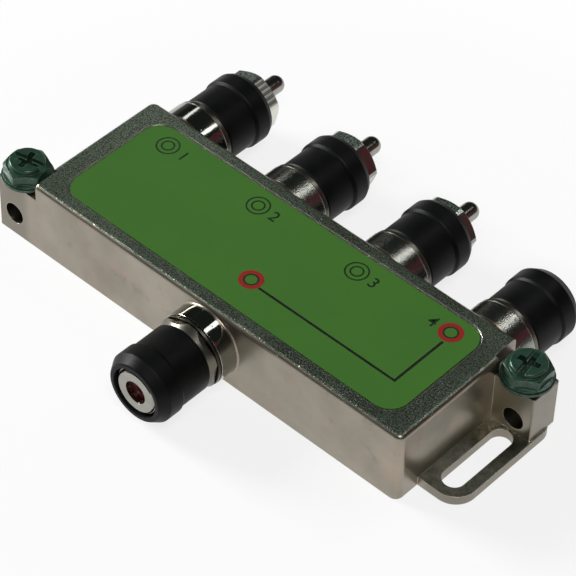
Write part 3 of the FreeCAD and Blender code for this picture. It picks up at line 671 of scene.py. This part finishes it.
FINISHES = {finish.name: finish for finish in (
    CastNickel(),
    TurnedNickel(),
    ScrewGreen(),
    PlainFinish("nickel_sheet", (0.50, 0.48, 0.44), (0.40, 0.38, 0.35), 0.30, metallic=1.0,
                cloud=12 * MM, edge=0.15 * MM),
    PlainFinish("green_label", linear(62, 107, 40), linear(58, 103, 38), 0.46, 0.05,
                specular=0.25, grain=0.2 * MM, depth=0.002 * MM, cloud=15 * MM),
    PlainFinish("dark_green_ink", linear(10, 32, 8), linear(14, 38, 11), 0.4),
    PlainFinish("red_ink", linear(140, 30, 22), linear(130, 26, 20), 0.4),
    PlainFinish("black_ink", linear(8, 13, 7), linear(12, 17, 10), 0.4),
    PlainFinish("board", linear(70, 96, 60), linear(60, 86, 52), 0.5),
    PlainFinish("red_insulator", linear(104, 26, 32), linear(88, 20, 26), 0.45, specular=0.3,
                cloud=1.5 * MM),
    PlainFinish("contact_brass", (0.52, 0.40, 0.18), (0.42, 0.31, 0.13), 0.25, metallic=1.0),
    PlainFinish("black_rubber", (0.0026, 0.0030, 0.0030), (0.0044, 0.0047, 0.0046), 0.40, 0.12,
                specular=0.13, grain=0.3 * MM, depth=0.008 * MM, cloud=5 * MM),
    PlainFinish("resistor_body", linear(140, 116, 88), linear(120, 98, 74), 0.4),
    PlainFinish("ferrite", linear(40, 40, 42), linear(28, 28, 30), 0.6),
    PlainFinish("copper_winding", (0.45, 0.20, 0.08), (0.35, 0.14, 0.05), 0.35, metallic=1.0),
    PlainFinish("ceramic", linear(150, 98, 44), linear(130, 80, 34), 0.45),
)}


class Workshop:
    """Keeps the finished materials and puts new pieces in the scene on their bodies."""

    smooth_angle: float = math.radians(35)

    def __init__(self) -> None:
        """Start with no materials."""
        self.made: dict[str, bpy.types.Material] = {}

    def finish(self, name: str) -> bpy.types.Material:
        """Return the material of a finish, made once."""
        if name not in self.made:
            self.made[name] = FINISHES[name].make()
        return self.made[name]

    def dress_nodes(self) -> None:
        """Give every CAD node the finish of its slot."""
        slots = {row["node"]: row["material_slot"] for row in frame["record"]["subparts"]}
        for name, node in frame["nodes"].items():
            node.data.materials.clear()
            node.data.materials.append(self.finish(slots[name]))
        LOG.info("dressed %d nodes", len(frame["nodes"]))

    def piece(self, name: str, mesh: bmesh.types.BMesh, finish: str, body: str,
              smooth: bool = True) -> bpy.types.Object:
        """Turn a bmesh into a piece that rides on a body.

        Args:
            name: The piece's name.
            mesh: Its shape in the row frame, which is freed.
            finish: The name of its finish.
            body: The CAD body that it rides on.
            smooth: Whether its faces are shaded smooth, apart from sharp edges.

        Returns:
            The new object.
        """
        data = mesh_data(name, mesh)
        data.materials.append(self.finish(finish))
        if smooth:
            data.shade_smooth()
            data.set_sharp_from_angle(angle=self.smooth_angle)
        made = add_object(name, data)
        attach(made, body)
        LOG.info("piece %s: %d faces", name, len(data.polygons))
        return made


@dataclass
class LabelPrint:
    """The generic print on the label: port rings, the power line and plain numbers.

    Apart from the lift, places and sizes are in millimetres, and a ring is its outside and inside diameter.
    """

    shop: Workshop
    lift: float = 0.012 * MM
    outputs: tuple[tuple[float, float], ...] = ((-34.15, 8.85), (-11.2, 8.85), (12.9, 8.8))
    power: tuple[tuple[float, float], ...] = ((0.8, -5.8), (34.7, 9.0))
    route: tuple[tuple[float, float], ...] = ((35.1, 6.65), (35.1, -6.4), (3.45, -6.4))
    output_rings: tuple[tuple[float, float], ...] = ((4.66, 4.06), (2.70, 2.06))
    power_ring: tuple[float, float] = (2.92, 2.28)
    red_ring: tuple[float, float] = (4.7, 2.9)
    ring_steps: int = 72
    line_width: float = 0.5
    number_height: float = 2.5
    number_share: float = 0.7
    number_weight: float = 0.022
    number_right: float = 3.2
    number_left: float = 4.9
    number_drop: float = 1.3

    def height(self) -> float:
        """Return the height at which the ink lies."""
        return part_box("label")[1].z + self.lift

    def ring(self, mesh: bmesh.types.BMesh, place: tuple[float, float], ring: tuple[float, float]) -> None:
        """Add a flat ring.

        Args:
            mesh: The mesh to add to.
            place: Its centre.
            ring: Its outside and inside diameter.
        """
        x, y = place
        outer, inner = ring
        low = mesh.verts.new((inner / 2 * MM + x * MM, y * MM, self.height()))
        high = mesh.verts.new((outer / 2 * MM + x * MM, y * MM, self.height()))
        edge = mesh.edges.new((low, high))
        bmesh.ops.spin(mesh, geom=[low, high, edge], cent=(x * MM, y * MM, 0), axis=(0, 0, 1),
                       angle=FULL_TURN, steps=self.ring_steps, use_merge=True)

    def bar(self, mesh: bmesh.types.BMesh, start: tuple[float, float], end: tuple[float, float]) -> None:
        """Add a straight flat bar, moved half its width forward so that bars meet at a corner.

        Args:
            mesh: The mesh to add to.
            start: One end.
            end: The other end.
        """
        a, b = Vector((*start, 0)) * MM, Vector((*end, 0)) * MM
        turn = math.atan2(b.y - a.y, b.x - a.x)
        forward = (b - a).normalized() * self.line_width / 2 * MM
        place = Matrix.Translation((a + b) / 2 + forward + Vector((0, 0, self.height())))
        shape = Matrix.Diagonal(((b - a).length, self.line_width * MM, 1, 1))
        bmesh.ops.create_grid(mesh, x_segments=1, y_segments=1, size=0.5,
                              matrix=place @ Matrix.Rotation(turn, 4, "Z") @ shape)

    def number(self, mesh: bmesh.types.BMesh, digits: str, x: float, y: float) -> None:
        """Add a plain number as flat faces.

        Args:
            mesh: The mesh to add to.
            digits: The number.
            x: Its left edge.
            y: Its baseline.
        """
        curve = bpy.data.curves.new("digits", "FONT")
        curve.body = digits
        curve.size = self.number_height * MM / self.number_share
        curve.resolution_u = 6
        curve.offset = self.number_weight * MM
        holder = add_object("digits", curve)
        bpy.context.view_layer.update()
        flat = bpy.data.meshes.new_from_object(holder)
        flat.transform(Matrix.Translation((x * MM, y * MM, self.height())))
        mesh.from_mesh(flat)
        bpy.data.objects.remove(holder)
        bpy.data.curves.remove(curve)
        bpy.data.meshes.remove(flat)

    def build(self) -> None:
        """Make the three inks as three pieces."""
        thin, red, line = bmesh.new(), bmesh.new(), bmesh.new()
        for place in self.outputs:
            for ring in self.output_rings:
                self.ring(thin, place, ring)
        for digit, (x, y) in enumerate(self.outputs, start=1):
            self.number(thin, str(digit), x + self.number_right, y - self.number_drop)
        x, y = self.power[1]
        self.number(thin, str(OUTPUT_COUNT), x - self.number_left, y - self.number_drop)
        for place in self.power:
            self.ring(thin, place, self.power_ring)
            self.ring(red, place, self.red_ring)
        for start, end in zip(self.route, self.route[1:]):
            self.bar(line, start, end)
        self.shop.piece("label_print_rings", thin, "dark_green_ink", "case", smooth=False)
        self.shop.piece("label_print_red", red, "red_ink", "case", smooth=False)
        self.shop.piece("label_print_line", line, "black_ink", "case", smooth=False)


class Side(Enum):
    """The long walls of the case, with the sign of y on each."""

    FRONT = -1
    REAR = 1


@dataclass
class BossRoots:
    """The small concave fillet where each port boss grows out of the wall."""

    shop: Workshop
    radius: float = 7.35 * MM
    fillet: float = 0.35 * MM
    wall: float = 16.0 * MM
    case_height: float = 16.0 * MM
    margin: float = 0.35 * MM
    arc_steps: int = 6
    round_steps: int = 96

    def root(self, x: float, side: Side) -> bmesh.types.BMesh:
        """Turn one fillet about a boss, and keep it off the case's underside and roof.

        Args:
            x: The boss's place along the case in metres.
            side: The wall that the boss grows out of.

        Returns:
            The fillet's shape.
        """
        mesh = bmesh.new()
        outline = []
        for step in range(self.arc_steps + 1):
            angle = math.radians(90 * step / self.arc_steps)
            out = self.fillet * (1 - math.sin(angle))
            away = self.fillet * (1 - math.cos(angle))
            point = (x, side.value * (self.wall + away), PORT_HEIGHT + self.radius + out)
            outline.append(mesh.verts.new(point))
        edges = [mesh.edges.new(pair) for pair in zip(outline, outline[1:])]
        bmesh.ops.spin(mesh, geom=outline + edges, cent=(x, 0, PORT_HEIGHT), axis=(0, 1, 0),
                       angle=FULL_TURN, steps=self.round_steps, use_merge=True)
        bmesh.ops.recalc_face_normals(mesh, faces=mesh.faces)
        for vertex in mesh.verts:
            vertex.co.z = min(max(vertex.co.z, self.margin), self.case_height - self.margin)
        return mesh

    def build(self) -> None:
        """Make the five fillets."""
        self.shop.piece("boss_root_input", self.root(0.0, Side.FRONT), "nickel_casting", "case")
        for number in range(1, OUTPUT_COUNT + 1):
            x = (number - (OUTPUT_COUNT + 1) / 2) * PORT_PITCH
            self.shop.piece(f"boss_root_{number}", self.root(x, Side.REAR), "nickel_casting", "case")


@dataclass(frozen=True)
class Lamp:
    """A rectangular softbox aimed at the object, with sizes in metres and power in watts."""

    name: str
    place: tuple[float, float, float]
    size: tuple[float, float]
    power: float


@dataclass
class Studio:
    """Floor, lamps, surroundings and the camera at the photograph's angle."""

    azimuth: float = 41.30
    elevation: float = 45.60
    roll: float = 2.01
    focal_pixels: float = 2867.0
    picture_pixels: int = 576
    sensor: float = 36.0
    clip: tuple[float, float] = (0.01, 50.0)
    target: tuple[float, float, float] = (1.80 * MM, 3.02 * MM, 8.0 * MM)
    distance: float = 517.7 * MM
    floor_radius: float = 6.0
    floor_drop: float = 0.05 * MM
    floor_white: float = 0.88
    floor_glow: float = 0.80
    shadow_reach: tuple[float, float] = (0.06, 0.13)
    grey_reach: tuple[float, float] = (0.22, 0.45)
    grey_level: float = 0.22
    horizon: Colour = (0.16, 0.16, 0.155)
    ceiling: Colour = (0.022, 0.027, 0.023)
    ceiling_start: float = 0.35
    card_place: tuple[float, float, float] = (0.60, 0.44, 0.30)
    card_size: tuple[float, float] = (0.60, 0.26)
    card_finish: PlainFinish = PlainFinish("card_wine", (0.15, 0.035, 0.045), (0.12, 0.028, 0.036), 0.9)
    lamps: tuple[Lamp, ...] = (
        Lamp("lamp_key", (-1.35, -0.30, 0.62), (0.50, 0.50), 30.0),
        Lamp("lamp_fill", (0.55, -0.50, 1.40), (0.50, 0.50), 9.5),
        Lamp("lamp_near", (0.053, 0.100, 0.163), (0.034, 0.075), 0.032),
        Lamp("lamp_near_left", (-0.104, 0.082, 0.104), (0.009, 0.040), 0.0032),
    )

    def camera(self) -> None:
        """Make the camera that was fitted to the photograph."""
        a, e, r = (math.radians(v) for v in (self.azimuth, self.elevation, self.roll))
        back = Vector((math.sin(a) * math.cos(e), -math.cos(a) * math.cos(e), math.sin(e)))
        right = Vector((math.cos(a), math.sin(a), 0))
        up = back.cross(right)
        across = right * math.cos(r) + up * math.sin(r)
        upward = up * math.cos(r) - right * math.sin(r)
        data = bpy.data.cameras.new("camera")
        data.sensor_width = self.sensor
        data.lens = self.focal_pixels * self.sensor / self.picture_pixels
        data.clip_start, data.clip_end = self.clip
        made = add_object("camera", data)
        turn = Matrix((across, upward, back)).transposed().to_4x4()
        made.matrix_world = Matrix.Translation(Vector(self.target) + back * self.distance) @ turn
        bpy.context.scene.camera = made

    def floor(self) -> None:
        """Make a white sheet that keeps a soft shadow near the object and turns grey further out."""
        mesh = bmesh.new()
        bmesh.ops.create_circle(mesh, cap_ends=True, radius=self.floor_radius, segments=96,
                                matrix=Matrix.Translation((0, 0, -self.floor_drop)))
        made = add_object("floor", mesh_data("floor", mesh))
        nodes = Wiring("floor_white")
        nodes.shader.inputs["Base Color"].default_value = (*[self.floor_white] * 3, 1)
        nodes.shader.inputs["Roughness"].default_value = 1.0
        nodes.shader.inputs["Specular IOR Level"].default_value = 0.0
        length = nodes.add("ShaderNodeVectorMath", {0: nodes.place}, operation="LENGTH").outputs["Value"]
        share = nodes.span(length, *self.shadow_reach, self.floor_glow, 1.0, smooth=True)
        level = nodes.span(length, *self.grey_reach, 1.0, self.grey_level, smooth=True)
        path = nodes.add("ShaderNodeLightPath")
        seen = nodes.math("MAXIMUM", path.outputs["Is Camera Ray"], path.outputs["Is Glossy Ray"])
        seen = nodes.math("MAXIMUM", seen, path.outputs["Is Transmission Ray"])
        plain = nodes.add("ShaderNodeEmission", {"Color": (1, 1, 1, 1), "Strength": level})
        mix = nodes.add("ShaderNodeMixShader", {0: nodes.product(seen, share),
                                                1: nodes.shader.outputs[0], 2: plain.outputs[0]})
        nodes.tree.links.new(mix.outputs[0], nodes.tree.nodes["Material Output"].inputs["Surface"])
        made.data.materials.append(nodes.material)

    def surroundings(self) -> None:
        """Make a dim room, a little lighter along the horizon."""
        world = bpy.data.worlds.new("room")
        world.use_nodes = True
        bpy.context.scene.world = world
        tree = world.node_tree
        background = tree.nodes["Background"]
        coordinates = tree.nodes.new("ShaderNodeTexCoord")
        split = tree.nodes.new("ShaderNodeSeparateXYZ")
        ramp = tree.nodes.new("ShaderNodeValToRGB")
        tree.links.new(coordinates.outputs["Generated"], split.inputs[0])
        tree.links.new(split.outputs[2], ramp.inputs[0])
        tree.links.new(ramp.outputs[0], background.inputs["Color"])
        stops = ((0.0, self.horizon), (self.ceiling_start, self.ceiling))
        for element, (position, colour) in zip(ramp.color_ramp.elements, stops):
            element.position = position
            element.color = (*colour, 1)
        background.inputs["Strength"].default_value = 1.0

    def light(self) -> None:
        """Hang the soft lamps."""
        for lamp in self.lamps:
            data = bpy.data.lights.new(lamp.name, "AREA")
            data.shape = "RECTANGLE"
            data.size, data.size_y = lamp.size
            data.energy = lamp.power
            made = add_object(lamp.name, data)
            made.location = lamp.place
            made.rotation_mode = "QUATERNION"
            made.rotation_quaternion = (-Vector(lamp.place)).to_track_quat("-Z", "Y")

    def card(self) -> None:
        """Stand a dark wine-coloured card to the right behind the object, out of view."""
        mesh = bmesh.new()
        bmesh.ops.create_grid(mesh, x_segments=1, y_segments=1, size=0.5)
        made = add_object("card", mesh_data("card", mesh))
        made.location = self.card_place
        made.scale = (*self.card_size, 1.0)
        made.rotation_mode = "QUATERNION"
        made.rotation_quaternion = (-Vector(self.card_place)).to_track_quat("Z", "Y")
        made.data.materials.append(self.card_finish.make())

    def build(self) -> None:
        """Make the whole studio."""
        bpy.context.scene.view_settings.view_transform = "Standard"
        self.camera()
        self.floor()
        self.surroundings()
        self.light()
        self.card()
        LOG.info("studio ready")


def main() -> None:
    """Build everything in order."""
    logging.basicConfig(level=logging.INFO, format="%(name)s %(message)s")
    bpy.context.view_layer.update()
    shop = Workshop()
    shop.dress_nodes()
    LabelPrint(shop).build()
    BossRoots(shop).build()
    Studio().build()


if __name__ == "__main__":
    main()
